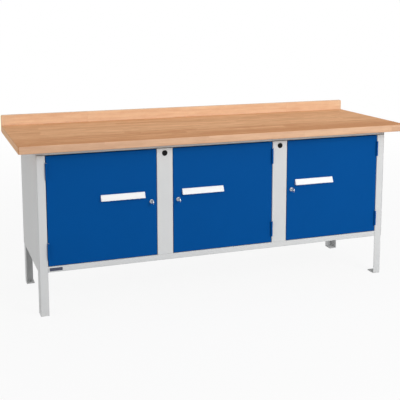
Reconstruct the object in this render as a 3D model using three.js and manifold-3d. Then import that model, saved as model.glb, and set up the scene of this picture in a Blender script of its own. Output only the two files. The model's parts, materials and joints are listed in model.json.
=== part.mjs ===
// Workbench: a beech top on a folded steel frame, with three lockable cabinet bays below it.
// Millimetres, +Z up, the doors face -Y. The origin is on the floor, below the middle of the bench.

import * as THREE from "three";
import { mergeVertices } from "three/addons/utils/BufferGeometryUtils.js";
import Module from "manifold-3d";

const wasm = await Module();
wasm.setup();

// Air left between pieces that rest on each other, and how far a welded piece is sunk into its carrier
const SEAT = 0.3;
const WELD = 0.2;

// Beech top and the strip that stands up behind it
const TOP_LENGTH = 2000;
const TOP_DEPTH = 680;
const TOP_THICKNESS = 36;
const TOP_CORNER_RADIUS = 7;
const STRIP_THICKNESS = 20;
const STRIP_RISE = 55;
const STRIP_CORNER_RADIUS = 8;
const BEECH_EDGE_ROUND = 3;
const FRONT_OVERHANG = 69;
const REAR_OVERHANG = 73;
const END_OVERHANG = 86.5;

// Frame: floor to the underside of the top, and the clear height below the cabinets
const FRAME_HEIGHT = 785;
const GROUND_CLEARANCE = 209;
const FOLD_RADIUS = 1.5;

// Legs, with a foot plate for a floor anchor
const LEG_WIDTH = 40;
const LEG_DEPTH = 58;
const LEG_SHEET = 2.5;
const FOOT_PLATE = 5;
const ANCHOR_HOLE_RADIUS = 6;

// Rails along the front and the rear
const RAIL_SHEET = 2;
const BOTTOM_RAIL_HEIGHT = 28;
const BOTTOM_RAIL_DEPTH = 48;
const TOP_RAIL_HEIGHT = 23;
const TOP_RAIL_DEPTH = 50;
const TOP_RAIL_RECESS = 6;
const STOP_LIP = 12;
const STOP_CLEARANCE = 2;
const STOP_NOTCH_SIDE = 4;

// Columns between the doors. A front leg has the same jamb on its inner side.
const COLUMN_WIDTH = 80;
const JAMB_DEPTH = 30;
const COLUMN_SHEET = 2;
const COLUMN_LIP = 20;
const PLUG_DROP = 23;
const PLUG_HEAD_RADIUS = 13.5;
const PLUG_HEAD_HEIGHT = 2.4;
const PLUG_SHANK_RADIUS = 11;
const PLUG_SHANK_LENGTH = 8;

// Cabinet sheets
const SIDE_SHEET = 1.5;
const SIDE_SETBACK = 2;
const SIDE_TOP_FLANGE = 30;
const SIDE_BOTTOM_FLANGE = 25;
const PARTITION_SHEET = 1.5;
const PARTITION_FLANGE = 30;
const BACK_SHEET = 1.2;
const SHEET_SIDE_GAP = 2;
const FLOOR_SHEET = 1.5;
const FLOOR_UPTURN = 18;
const SHELF_SHEET = 1.5;
const SHELF_HEM = 25;
const SHELF_HEIGHT = 250;
const SHELF_SETBACK = 75;
const SHELF_REAR_GAP = 8;
const SHELF_SIDE_GAP = 1;
const LEDGE_WIDTH = 18;
const LEDGE_DROP = 20;
const LEDGE_SHEET = 1.5;
const LEDGE_END_GAP = 12;

// Doors: folded pans with a lip round the back and a channel down the middle
const DOOR_DEPTH = 20;
const DOOR_SHEET = 1.2;
const DOOR_GAP = 2.5;
const DOOR_LIP = 14;
const DOOR_EDGE_RADIUS = 2.2;
const CHANNEL_WIDTH = 60;
const CHANNEL_FLANGE = 15;
const CHANNEL_DEPTH = 14;

// Hinges: two knuckles on one pin, the lower on the frame, the upper on the door
const HINGE_LENGTH = 78;
const HINGE_INSET = 71;
const KNUCKLE_RADIUS = 5;
const KNUCKLE_INBOARD = 1;
const KNUCKLE_GAP = 0.4;
const LEAF_SHEET = 1.5;
const LEAF_DEPTH = 16;
const PIN_RADIUS = 2.5;
const PIN_HEAD_RADIUS = 3.8;
const PIN_HEAD_HEIGHT = 1.6;

// Hooded pull with a slanting label face, gripped from below. The same moulding is used on doors of both hands,
// so it lies to one side of its fixings on all of them.
const PULL_LENGTH = 213;
const PULL_HEIGHT = 28;
const PULL_REACH = 19;
const PULL_TOP_REACH = 5;
const PULL_WALL = 2.4;
const PULL_EDGE_ROUND = 1.6;
const PULL_DROP = 215.5;
const PULL_INSET = 52;
const PULL_SHIFT = -8;
const LABEL_MARGIN = 5;
const LABEL_RECESS = 0.7;

// Cam lock with a round collar, a turning core, its key and the cam behind the door
const LOCK_INSET = 25;
const LOCK_DROP = 252;
const COLLAR_RADIUS = 10.5;
const COLLAR_HEIGHT = 4;
const COLLAR_CHAMFER = 1.5;
const BARREL_RADIUS = 8.5;
const BARREL_END_GAP = 1;
const NUT_FLATS = 24;
const NUT_HEIGHT = 5;
const CORE_RADIUS = 6;
const CORE_PROUD = 1;
const KEYWAY_HEIGHT = 8.6;
const KEY_SHEET = 2.2;
const KEY_BLADE_HEIGHT = 8;
const KEY_BLADE_LENGTH = 18;
const KEY_NECK = 5;
const KEY_BOW_RADIUS = 12;
const KEY_HOLE_RADIUS = 3.2;
const KEY_HOLE_EDGE = 2.6;
const CAM_SHEET = 2.5;
const CAM_WIDTH = 14;
const CAM_GRIP = 8;
const CAM_CLEARANCE = 2;

// Steps of each curve in an outline, per half of a fold, an arc or a circle
const FOLD_STEPS = 2;
const ARC_STEPS = 2;
const CIRCLE_STEPS = 8;
const TURN_STEPS = 20;

// The three bays from left to right, with the side that the door hangs on
const BAYS = [
  { name: "left", hinge: -1 },
  { name: "middle", hinge: 1 },
  { name: "right", hinge: 1 },
];
const SIDES = [
  { name: "left", sign: -1 },
  { name: "right", sign: 1 },
];

// Places that follow from the sizes above
const DEPTH = TOP_DEPTH + SEAT + STRIP_THICKNESS;
const TOP_FRONT = -DEPTH / 2;
const TOP_REAR = TOP_FRONT + TOP_DEPTH;
const FRONT = TOP_FRONT + FRONT_OVERHANG;
const REAR = TOP_REAR - REAR_OVERHANG;
const HALF_WIDTH = TOP_LENGTH / 2 - END_OVERHANG;
const PITCH = (2 * (HALF_WIDTH - LEG_WIDTH) + COLUMN_WIDTH) / BAYS.length;
const DOOR_WIDTH = PITCH - COLUMN_WIDTH - 2 * DOOR_GAP;
const FRAME_TOP = FRAME_HEIGHT - SEAT;
const POST_TOP = FRAME_TOP - TOP_RAIL_HEIGHT - SEAT;
const RAIL_TOP = GROUND_CLEARANCE + BOTTOM_RAIL_HEIGHT;
const POST_FOOT = RAIL_TOP + SEAT;
const DOOR_BOTTOM = RAIL_TOP + DOOR_GAP;
const DOOR_TOP = FRAME_TOP - TOP_RAIL_HEIGHT - DOOR_GAP;
const BACK_FACE = REAR - LEG_SHEET - SEAT - BACK_SHEET;
const PARTITION_FRONT = FRONT + JAMB_DEPTH + SEAT;
const PARTITION_REAR = BACK_FACE - SEAT;
const FLOOR_FRONT = PARTITION_FRONT + PARTITION_SHEET + SEAT;
const FLOOR_REAR = PARTITION_REAR - PARTITION_SHEET - SEAT;
const SHELF_TOP = RAIL_TOP + SHELF_HEIGHT;
const SHELF_FRONT = FRONT + SHELF_SETBACK;
const SHELF_REAR = FLOOR_REAR - SHELF_REAR_GAP;
const LEDGE_TOP = SHELF_TOP - SHELF_SHEET - SEAT;
const LEDGE_FRONT = Math.max(SHELF_FRONT, FRONT + LEG_DEPTH) + LEDGE_END_GAP;
const LEDGE_REAR = Math.min(SHELF_REAR, REAR - LEG_DEPTH) - LEDGE_END_GAP;
const LOCK_HEIGHT = DOOR_TOP - LOCK_DROP;
const CAM_FRONT = FRONT + DOOR_DEPTH + CAM_CLEARANCE;
const CAM_REACH = LOCK_INSET + DOOR_GAP + COLUMN_SHEET + CAM_GRIP;
const ENDS = [
  { name: "front", sign: -1, place: FRONT },
  { name: "rear", sign: 1, place: REAR },
];
const columns = BAYS.slice(1).map((bay, i) => (i + 1 - BAYS.length / 2) * PITCH);

const finishes = {
  beech: { color: 0xd8a878, roughness: 0.55, metalness: 0 },
  greyPaint: { color: 0xd4d6d5, roughness: 0.5, metalness: 0.1 },
  bluePaint: { color: 0x024e94, roughness: 0.45, metalness: 0.1 },
  whitePlastic: { color: 0xf4f4f2, roughness: 0.4, metalness: 0 },
  blackPlastic: { color: 0x101012, roughness: 0.5, metalness: 0 },
  nickel: { color: 0xb9bcc0, roughness: 0.3, metalness: 0.9 },
};

// A closed geometry as a solid that can be joined and cut
function solid(geometry) {
  const bare = geometry.index ? geometry.toNonIndexed() : geometry.clone();
  bare.deleteAttribute("normal");
  bare.deleteAttribute("uv");
  const merged = mergeVertices(bare, 1e-4);
  const mesh = new wasm.Mesh({
    numProp: 3,
    vertProperties: merged.attributes.position.array,
    triVerts: new Uint32Array(merged.index.array),
  });
  return new wasm.Manifold(mesh);
}

function join(first, ...others) {
  return others.reduce((whole, piece) => whole.add(piece), first);
}

function cut(first, ...others) {
  return others.reduce((whole, piece) => whole.subtract(piece), first);
}

// A mesh with flat faces, named after the sub-part it is
function part(name, body, finish, x = 0, y = 0, z = 0) {
  const mesh = body.getMesh();
  const geometry = new THREE.BufferGeometry();
  geometry.setAttribute("position", new THREE.BufferAttribute(mesh.vertProperties, 3));
  geometry.setIndex(new THREE.BufferAttribute(mesh.triVerts, 1));
  const flat = geometry.toNonIndexed();
  flat.computeVertexNormals();
  const made = new THREE.Mesh(flat, new THREE.MeshStandardMaterial(finish));
  made.name = name;
  made.position.set(x, y, z);
  return made;
}

function groupAt(x, y, z, ...children) {
  const group = new THREE.Group();
  group.position.set(x, y, z);
  return group.add(...children);
}

// A box between two corners, given in any order
function block(x0, x1, y0, y1, z0, z1) {
  const geometry = new THREE.BoxGeometry(Math.abs(x1 - x0), Math.abs(y1 - y0), Math.abs(z1 - z0));
  return solid(geometry.translate((x0 + x1) / 2, (y0 + y1) / 2, (z0 + z1) / 2));
}

function extruded(shape, length, steps) {
  return new THREE.ExtrudeGeometry(shape, { depth: length, bevelEnabled: false, curveSegments: steps });
}

// Prisms: the outline is drawn in (y, z), (x, z) or (x, y), and runs along the remaining axis
function prismX(shape, x0, x1, steps = FOLD_STEPS) {
  const turn = new THREE.Matrix4().set(0, 0, 1, x0, 1, 0, 0, 0, 0, 1, 0, 0, 0, 0, 0, 1);
  return solid(extruded(shape, x1 - x0, steps).applyMatrix4(turn));
}

function prismY(shape, y0, y1, steps = FOLD_STEPS) {
  const turn = new THREE.Matrix4().set(1, 0, 0, 0, 0, 0, -1, y1, 0, 1, 0, 0, 0, 0, 0, 1);
  return solid(extruded(shape, y1 - y0, steps).applyMatrix4(turn));
}

function prismZ(shape, z0, z1, steps = FOLD_STEPS) {
  return solid(extruded(shape, z1 - z0, steps).translate(0, 0, z0));
}

// A solid turned about the y axis from a profile of (radius, y) points
function turned(profile) {
  const points = profile.map(([radius, y]) => new THREE.Vector2(radius, y));
  return new THREE.LatheGeometry(points, TURN_STEPS);
}

function circle(x, y, radius) {
  return new THREE.Shape().absarc(x, y, radius, 0, 2 * Math.PI, false);
}

function polygon(points) {
  return new THREE.Shape(points.map(([x, y]) => new THREE.Vector2(x, y)));
}

// The arc that rounds the corner at b on the way from a to c
function cornerArc(a, b, c, radius) {
  const into = b.clone().sub(a).normalize();
  const out = c.clone().sub(b).normalize();
  const turn = into.cross(out) > 0 ? 1 : -1;
  const reach = radius * Math.tan(Math.acos(THREE.MathUtils.clamp(into.dot(out), -1, 1)) / 2);
  const start = b.clone().addScaledVector(into, -reach);
  const end = b.clone().addScaledVector(out, reach);
  const centre = new THREE.Vector2(-into.y, into.x).multiplyScalar(turn * radius).add(start);
  const from = Math.atan2(start.y - centre.y, start.x - centre.x);
  const to = Math.atan2(end.y - centre.y, end.x - centre.x);
  return { start, end, centre, from, to, turn };
}

// A closed outline with a radius for each corner, 0 for a sharp one
function rounded(points, radii) {
  const corners = points.map(([x, y]) => new THREE.Vector2(x, y));
  const shape = new THREE.Shape();
  corners.forEach((corner, i) => {
    const radius = Array.isArray(radii) ? radii[i] : radii;
    const before = corners[(i + corners.length - 1) % corners.length];
    const arc = cornerArc(before, corner, corners[(i + 1) % corners.length], radius);
    if (i === 0) shape.moveTo(arc.start.x, arc.start.y);
    else shape.lineTo(arc.start.x, arc.start.y);
    if (radius > 0) shape.absarc(arc.centre.x, arc.centre.y, radius, arc.from, arc.to, arc.turn < 0);
  });
  shape.closePath();
  return shape;
}

// Outline of a folded sheet: the path runs along one face, the sheet lies on its left, and folds are round
function folded(path, sheet, inner = FOLD_RADIUS) {
  const points = path.map(([x, y]) => new THREE.Vector2(x, y));
  const last = points.length - 1;
  const left = (a, b) => {
    const along = b.clone().sub(a).normalize();
    return new THREE.Vector2(-along.y, along.x).multiplyScalar(sheet);
  };
  const folds = points.slice(1, last).map((point, i) => {
    const leftTurn = cornerArc(points[i], point, points[i + 2], 1).turn > 0;
    const nearRadius = leftTurn ? inner + sheet : inner;
    const farRadius = leftTurn ? inner : inner + sheet;
    return { ...cornerArc(points[i], point, points[i + 2], nearRadius), nearRadius, farRadius };
  });
  const shape = new THREE.Shape();
  const arcTo = (fold, radius, from, to, clockwise) => {
    shape.lineTo(fold.centre.x + radius * Math.cos(from), fold.centre.y + radius * Math.sin(from));
    shape.absarc(fold.centre.x, fold.centre.y, radius, from, to, clockwise);
  };
  shape.moveTo(points[0].x, points[0].y);
  folds.forEach((fold) => arcTo(fold, fold.nearRadius, fold.from, fold.to, fold.turn < 0));
  shape.lineTo(points[last].x, points[last].y);
  const farEnd = points[last].clone().add(left(points[last - 1], points[last]));
  const farStart = points[0].clone().add(left(points[0], points[1]));
  shape.lineTo(farEnd.x, farEnd.y);
  folds.reverse().forEach((fold) => arcTo(fold, fold.farRadius, fold.to, fold.from, fold.turn > 0));
  shape.lineTo(farStart.x, farStart.y);
  shape.closePath();
  return shape;
}

// The same path mirrored in x or y, turned round so that the sheet stays on the same face
function mirrored(path, signX, signY) {
  const flipped = path.map(([x, y]) => [signX * x, signY * y]);
  return signX * signY > 0 ? flipped : flipped.reverse();
}

// A board with rounded plan corners and rounded edges, its lower face on z = 0
function board(length, width, thickness, cornerRadius, round) {
  const x = length / 2 - round;
  const y = width / 2 - round;
  const outline = rounded([[-x, -y], [x, -y], [x, y], [-x, y]], cornerRadius - round);
  const geometry = new THREE.ExtrudeGeometry(outline, {
    depth: thickness - 2 * round,
    bevelThickness: round,
    bevelSize: round,
    bevelSegments: ARC_STEPS,
    curveSegments: ARC_STEPS,
  });
  return geometry.translate(0, 0, round);
}

function worktop() {
  const slab = board(TOP_LENGTH, TOP_DEPTH, TOP_THICKNESS, TOP_CORNER_RADIUS, BEECH_EDGE_ROUND);
  return part("worktop", solid(slab), finishes.beech, 0, TOP_FRONT + TOP_DEPTH / 2, FRAME_HEIGHT);
}

function rearStrip() {
  const height = TOP_THICKNESS + STRIP_RISE;
  const slab = board(TOP_LENGTH, height, STRIP_THICKNESS, STRIP_CORNER_RADIUS, BEECH_EDGE_ROUND);
  slab.rotateX(Math.PI / 2);
  return part("rear_strip", solid(slab), finishes.beech, 0, DEPTH / 2, FRAME_HEIGHT + height / 2);
}

// A folded leg with its foot plate. A front leg has a jamb for the door above the bottom rail.
function leg(side, end) {
  const isFront = end.sign < 0;
  const path = [[0, LEG_DEPTH], [0, 0], [LEG_WIDTH, 0]];
  if (isFront) path.push([LEG_WIDTH, JAMB_DEPTH]);
  const inX = -side.sign;
  const inY = -end.sign;
  const post = prismZ(folded(mirrored(path, inX, inY), LEG_SHEET), 0, POST_TOP);
  const jambFoot = block(
    inX * (LEG_SHEET + FOLD_RADIUS),
    inX * (LEG_WIDTH + SEAT),
    inY * LEG_SHEET,
    inY * (JAMB_DEPTH + SEAT),
    -SEAT,
    POST_FOOT,
  );
  const outer = LEG_SHEET - WELD;
  const plate = block(inX * outer, inX * LEG_WIDTH, inY * outer, inY * LEG_DEPTH, 0, FOOT_PLATE);
  const anchor = circle((inX * LEG_WIDTH) / 2, (inY * LEG_DEPTH) / 2, ANCHOR_HOLE_RADIUS);
  const foot = cut(plate, prismZ(anchor, -SEAT, FOOT_PLATE + SEAT, CIRCLE_STEPS));
  const body = join(cut(post, jambFoot), foot);
  return part(`leg_${end.name}_${side.name}`, body, finishes.greyPaint, side.sign * HALF_WIDTH, end.place);
}

// Outer side sheet with flanges between the legs and a ledge for the shelf
function sidePanel(side) {
  const inX = -side.sign;
  const legSpace = Math.max(LEG_DEPTH, TOP_RAIL_RECESS + TOP_RAIL_DEPTH) + SEAT;
  const path = [
    [SIDE_TOP_FLANGE, FRAME_TOP],
    [0, FRAME_TOP],
    [0, GROUND_CLEARANCE],
    [SIDE_BOTTOM_FLANGE, GROUND_CLEARANCE],
  ];
  const flanged = prismY(folded(mirrored(path, inX, 1), SIDE_SHEET), FRONT + legSpace, REAR - legSpace);
  const front = FRONT + SIDE_SETBACK;
  const rear = REAR - SIDE_SETBACK;
  const sheet = block(0, inX * SIDE_SHEET, front, rear, GROUND_CLEARANCE, FRAME_TOP);
  const body = join(flanged, sheet, shelfLedge(inX, SIDE_SHEET));
  const place = side.sign * (HALF_WIDTH + SEAT + SIDE_SHEET);
  return part(`side_panel_${side.name}`, body, finishes.greyPaint, place);
}

// An angle welded to a wall whose face lies at the given distance, for one end of a shelf
function shelfLedge(sign, face) {
  const base = face - WELD;
  const path = [[base + LEDGE_WIDTH, LEDGE_TOP], [base, LEDGE_TOP], [base, LEDGE_TOP - LEDGE_DROP]];
  return prismY(folded(mirrored(path, sign, 1), LEDGE_SHEET), LEDGE_FRONT, LEDGE_REAR);
}

// Slot in a column's wall for the cam of the door beside it
function camSlot(side) {
  const wall = LOCK_INSET + DOOR_GAP;
  const rise = Math.sqrt(CAM_REACH ** 2 + (CAM_WIDTH / 2) ** 2 - wall ** 2);
  const camFront = CAM_FRONT - FRONT;
  return block(
    side * (COLUMN_WIDTH / 2 - COLUMN_SHEET - FOLD_RADIUS),
    side * (COLUMN_WIDTH / 2 + SEAT),
    camFront - CAM_CLEARANCE,
    camFront + CAM_SHEET + CAM_CLEARANCE,
    LOCK_HEIGHT - CAM_WIDTH / 2 - CAM_CLEARANCE,
    LOCK_HEIGHT + rise + CAM_CLEARANCE,
  );
}

// Folded column, open at the back, between bay i and the next one
function column(i) {
  const half = COLUMN_WIDTH / 2;
  const path = [
    [-half + COLUMN_LIP, JAMB_DEPTH],
    [-half, JAMB_DEPTH],
    [-half, 0],
    [half, 0],
    [half, JAMB_DEPTH],
    [half - COLUMN_LIP, JAMB_DEPTH],
  ];
  const post = prismZ(folded(path, COLUMN_SHEET), POST_FOOT, POST_TOP);
  const plugHole = circle(0, POST_TOP - PLUG_DROP, PLUG_SHANK_RADIUS + SEAT);
  const cuts = [prismY(plugHole, -SEAT, COLUMN_SHEET + SEAT, CIRCLE_STEPS)];
  if (BAYS[i].hinge < 0) cuts.push(camSlot(-1));
  if (BAYS[i + 1].hinge > 0) cuts.push(camSlot(1));
  return part(`column_${SIDES[i].name}`, cut(post, ...cuts), finishes.greyPaint, columns[i], FRONT);
}

// Black plug in the hole at the top of a column
function plug(i) {
  const profile = [
    [0, -PLUG_HEAD_HEIGHT],
    [PLUG_HEAD_RADIUS - PLUG_HEAD_HEIGHT, -PLUG_HEAD_HEIGHT],
    [PLUG_HEAD_RADIUS, -PLUG_HEAD_HEIGHT / 2],
    [PLUG_HEAD_RADIUS, -SEAT],
    [PLUG_SHANK_RADIUS, -SEAT],
    [PLUG_SHANK_RADIUS, PLUG_SHANK_LENGTH],
    [0, PLUG_SHANK_LENGTH],
  ];
  const place = [columns[i], FRONT, POST_TOP - PLUG_DROP];
  return part(`column_plug_${SIDES[i].name}`, solid(turned(profile)), finishes.blackPlastic, ...place);
}

// Channel rail between the legs, open to the inside
function bottomRail(end) {
  const path = [
    [BOTTOM_RAIL_DEPTH, RAIL_TOP],
    [0, RAIL_TOP],
    [0, GROUND_CLEARANCE],
    [BOTTOM_RAIL_DEPTH, GROUND_CLEARANCE],
  ];
  const reach = HALF_WIDTH - LEG_WIDTH - SEAT;
  const rail = prismX(folded(mirrored(path, -end.sign, 1), RAIL_SHEET), -reach, reach);
  return part(`bottom_rail_${end.name}`, rail, finishes.greyPaint, 0, end.place);
}

// Channel rail on top of the posts. The front one has a lip that stops the doors, notched at each post.
function topRail(end) {
  const isFront = end.sign < 0;
  const recess = isFront ? TOP_RAIL_RECESS : 0;
  const low = FRAME_TOP - TOP_RAIL_HEIGHT;
  const lip = DOOR_DEPTH + STOP_CLEARANCE - recess;
  const path = [[TOP_RAIL_DEPTH, FRAME_TOP], [0, FRAME_TOP], [0, low]];
  if (isFront) path.push([lip, low], [lip, low - STOP_LIP]);
  else path.push([TOP_RAIL_DEPTH, low]);
  const reach = HALF_WIDTH - SEAT;
  const rail = prismX(folded(mirrored(path, -end.sign, 1), RAIL_SHEET), -reach, reach);
  const legInner = HALF_WIDTH - LEG_WIDTH - STOP_NOTCH_SIDE;
  const columnHalf = COLUMN_WIDTH / 2 + STOP_NOTCH_SIDE;
  const posts = columns.map((x) => [x - columnHalf, x + columnHalf]);
  posts.push([-HALF_WIDTH, -legInner], [legInner, HALF_WIDTH]);
  const lipRear = lip + RAIL_SHEET + SEAT;
  const notches = posts.map(([x0, x1]) => block(x0, x1, 0, lipRear, low - STOP_LIP - SEAT, low));
  const body = isFront ? cut(rail, ...notches) : rail;
  return part(`top_rail_${end.name}`, body, finishes.greyPaint, 0, end.place - end.sign * recess);
}

// Wall between two bays, folded towards the column and the back, with a ledge on each side
function partition(i) {
  const face = PARTITION_SHEET / 2;
  const path = [
    [PARTITION_FLANGE, PARTITION_REAR],
    [-face, PARTITION_REAR],
    [-face, PARTITION_FRONT],
    [PARTITION_FLANGE, PARTITION_FRONT],
  ];
  const wall = prismZ(folded(path, PARTITION_SHEET), POST_FOOT, POST_TOP);
  const body = join(wall, shelfLedge(-1, face), shelfLedge(1, face));
  return part(`partition_${SIDES[i].name}`, body, finishes.greyPaint, columns[i]);
}

function backPanel() {
  const reach = HALF_WIDTH - LEG_SHEET - SHEET_SIDE_GAP;
  const sheet = block(-reach, reach, BACK_FACE, BACK_FACE + BACK_SHEET, POST_FOOT, POST_TOP);
  return part("back_panel", sheet, finishes.greyPaint);
}

// Inner faces of the walls on both sides of a bay
function bayWalls(i) {
  const end = HALF_WIDTH - LEG_SHEET;
  const left = i === 0 ? -end : columns[i - 1] + PARTITION_SHEET / 2;
  const right = i === BAYS.length - 1 ? end : columns[i] - PARTITION_SHEET / 2;
  return [left, right];
}

// Floor tray of a bay, turned up at both sides
function floorTray(i) {
  const [left, right] = bayWalls(i);
  const x0 = left + SHEET_SIDE_GAP;
  const x1 = right - SHEET_SIDE_GAP;
  const rim = POST_FOOT + FLOOR_UPTURN;
  const path = [[x0, rim], [x0, POST_FOOT], [x1, POST_FOOT], [x1, rim]];
  const tray = prismY(folded(path, FLOOR_SHEET), FLOOR_FRONT, FLOOR_REAR);
  return part(`floor_${BAYS[i].name}`, tray, finishes.greyPaint);
}

// Loose shelf of a bay, hemmed down at the front and the rear, lying on two ledges
function shelf(i) {
  const [left, right] = bayWalls(i);
  const hem = SHELF_TOP - SHELF_HEM;
  const path = [[SHELF_REAR, hem], [SHELF_REAR, SHELF_TOP], [SHELF_FRONT, SHELF_TOP], [SHELF_FRONT, hem]];
  const tray = prismX(folded(path, SHELF_SHEET), left + SHELF_SIDE_GAP, right - SHELF_SIDE_GAP);
  return part(`shelf_${BAYS[i].name}`, tray, finishes.greyPaint);
}

// Door pan: a skin with folded edges, a lip round the back, a channel down the middle and the lock hole
function doorPan(bay) {
  const half = DOOR_WIDTH / 2;
  const r = DOOR_EDGE_RADIUS;
  const plan = [[-half, 0], [half, 0], [half, DOOR_DEPTH], [-half, DOOR_DEPTH]];
  const side = [[0, DOOR_BOTTOM], [DOOR_DEPTH, DOOR_BOTTOM], [DOOR_DEPTH, DOOR_TOP], [0, DOOR_TOP]];
  const upright = prismZ(rounded(plan, [r, r, 0, 0]), DOOR_BOTTOM, DOOR_TOP, ARC_STEPS);
  const outer = upright.intersect(prismX(rounded(side, [r, 0, 0, r]), -half, half, ARC_STEPS));
  const cavity = block(
    -half + DOOR_SHEET,
    half - DOOR_SHEET,
    DOOR_SHEET,
    DOOR_DEPTH - DOOR_SHEET,
    DOOR_BOTTOM + DOOR_SHEET,
    DOOR_TOP - DOOR_SHEET,
  );
  const lipInner = half - DOOR_LIP;
  const window = block(
    -lipInner,
    lipInner,
    DOOR_DEPTH - 2 * DOOR_SHEET,
    DOOR_DEPTH + SEAT,
    DOOR_BOTTOM + DOOR_LIP,
    DOOR_TOP - DOOR_LIP,
  );
  const lockHole = circle(lockX(bay), LOCK_HEIGHT, BARREL_RADIUS + SEAT);
  const hole = prismY(lockHole, -SEAT, DOOR_SHEET + SEAT, CIRCLE_STEPS);
  return part(`door_${bay.name}`, join(cut(outer, cavity, window, hole), doorChannel()), finishes.bluePaint);
}

// Hat channel welded to the back of the skin, with open ends
function doorChannel() {
  const skin = DOOR_SHEET - WELD;
  const half = CHANNEL_WIDTH / 2;
  const crown = skin + CHANNEL_DEPTH;
  const path = [
    [-half - CHANNEL_FLANGE, skin],
    [-half, skin],
    [-half, crown],
    [half, crown],
    [half, skin],
    [half + CHANNEL_FLANGE, skin],
  ];
  const ends = DOOR_LIP + CHANNEL_FLANGE;
  return prismZ(folded(path, DOOR_SHEET), DOOR_BOTTOM + ends, DOOR_TOP - ends);
}

// The lock sits near the free edge, away from the hinges
function lockX(bay) {
  return -bay.hinge * (DOOR_WIDTH / 2 - LOCK_INSET);
}

// Half of a hinge about its own axis: a knuckle and the leaf that goes back into the gap beside the door
function hingeHalf(sign, z0, z1, leafNear) {
  const bore = PIN_RADIUS + SEAT;
  const ring = circle(0, 0, KNUCKLE_RADIUS);
  ring.holes.push(circle(0, 0, bore));
  const knuckle = prismZ(ring, z0, z1, CIRCLE_STEPS);
  const start = Math.sqrt(Math.max(0, (bore + WELD) ** 2 - leafNear ** 2));
  const rear = KNUCKLE_RADIUS + SEAT + LEAF_DEPTH;
  return join(knuckle, block(sign * leafNear, sign * (leafNear + LEAF_SHEET), start, rear, z0, z1));
}

function hingePin() {
  const low = -HINGE_LENGTH / 2;
  const seat = HINGE_LENGTH / 2 + SEAT;
  const profile = [
    [0, low],
    [PIN_RADIUS, low],
    [PIN_RADIUS, seat],
    [PIN_HEAD_RADIUS, seat],
    [PIN_HEAD_RADIUS, seat + PIN_HEAD_HEIGHT / 2],
    [PIN_RADIUS, seat + PIN_HEAD_HEIGHT],
    [0, seat + PIN_HEAD_HEIGHT],
  ];
  return solid(turned(profile).rotateX(Math.PI / 2));
}

// One hinge of a door, its group placed on the turning axis
function hinge(bay, level, z) {
  const name = `${bay.name}_${level}`;
  const half = HINGE_LENGTH / 2;
  const gap = KNUCKLE_GAP / 2;
  const doorLeaf = KNUCKLE_INBOARD + SEAT;
  const frameLeaf = KNUCKLE_INBOARD + DOOR_GAP - SEAT - LEAF_SHEET;
  return groupAt(
    bay.hinge * (DOOR_WIDTH / 2 - KNUCKLE_INBOARD),
    -KNUCKLE_RADIUS - SEAT,
    z,
    part(`hinge_frame_leaf_${name}`, hingeHalf(bay.hinge, -half, -gap, frameLeaf), finishes.bluePaint),
    part(`hinge_door_leaf_${name}`, hingeHalf(bay.hinge, gap, half, doorLeaf), finishes.bluePaint),
    part(`hinge_pin_${name}`, hingePin(), finishes.nickel),
  );
}

// Pull: a hood open below, its slanting front recessed for a label
function pull(bay) {
  const half = PULL_HEIGHT / 2;
  const back = -SEAT;
  const outline = [[back, -half], [back, half], [-PULL_TOP_REACH, half], [-PULL_REACH, -half]];
  const round = PULL_EDGE_ROUND;
  const hood = prismX(rounded(outline, [0, 0, round, round]), -PULL_LENGTH / 2, PULL_LENGTH / 2, ARC_STEPS);
  const low = new THREE.Vector2(-PULL_REACH, -half);
  const high = new THREE.Vector2(-PULL_TOP_REACH, half);
  const along = high.clone().sub(low).normalize();
  const inward = new THREE.Vector2(along.y, -along.x);
  const innerY = (z) => low.x + PULL_WALL / inward.x + ((z + half) * along.x) / along.y;
  const innerBack = back - PULL_WALL;
  const closing = -half + ((innerBack - innerY(-half)) * along.y) / along.x;
  const roof = Math.min(half - PULL_WALL, closing - SEAT);
  const mouth = -half - SEAT;
  const hollow = [[innerBack, mouth], [innerBack, roof], [innerY(roof), roof], [innerY(mouth), mouth]];
  const inner = PULL_LENGTH / 2 - PULL_WALL;
  const onFace = (corner, step, depth) => {
    const point = corner.clone().addScaledVector(along, step).addScaledVector(inward, depth);
    return [point.x, point.y];
  };
  const label = [
    onFace(low, LABEL_MARGIN, -SEAT),
    onFace(high, -LABEL_MARGIN, -SEAT),
    onFace(high, -LABEL_MARGIN, LABEL_RECESS),
    onFace(low, LABEL_MARGIN, LABEL_RECESS),
  ];
  const labelReach = PULL_LENGTH / 2 - LABEL_MARGIN;
  const body = cut(
    hood,
    prismX(polygon(hollow), -inner, inner),
    prismX(polygon(label), -labelReach, labelReach),
  );
  const x = PULL_SHIFT - bay.hinge * (DOOR_WIDTH / 2 - PULL_INSET - PULL_LENGTH / 2);
  return part(`pull_${bay.name}`, body, finishes.whitePlastic, x, 0, DOOR_TOP - PULL_DROP);
}

// Lock body through the door: collar, barrel and the nut behind the skin, bored for the core
function lockBody() {
  const bore = CORE_RADIUS + SEAT;
  const end = DOOR_DEPTH + CAM_CLEARANCE - BARREL_END_GAP;
  const profile = [
    [bore, -COLLAR_HEIGHT],
    [COLLAR_RADIUS - COLLAR_CHAMFER, -COLLAR_HEIGHT],
    [COLLAR_RADIUS, -COLLAR_HEIGHT + COLLAR_CHAMFER],
    [COLLAR_RADIUS, -SEAT],
    [BARREL_RADIUS, -SEAT],
    [BARREL_RADIUS, end],
    [bore, end],
    [bore, -COLLAR_HEIGHT],
  ];
  const corner = NUT_FLATS / Math.sqrt(3);
  const hexagon = [0, 1, 2, 3, 4, 5].map((i) => [
    corner * Math.cos((i * Math.PI) / 3),
    corner * Math.sin((i * Math.PI) / 3),
  ]);
  const nut = polygon(hexagon);
  nut.holes.push(circle(0, 0, BARREL_RADIUS - WELD));
  const seat = DOOR_SHEET + SEAT;
  return join(solid(turned(profile)), prismY(nut, seat, seat + NUT_HEIGHT, CIRCLE_STEPS));
}

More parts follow.
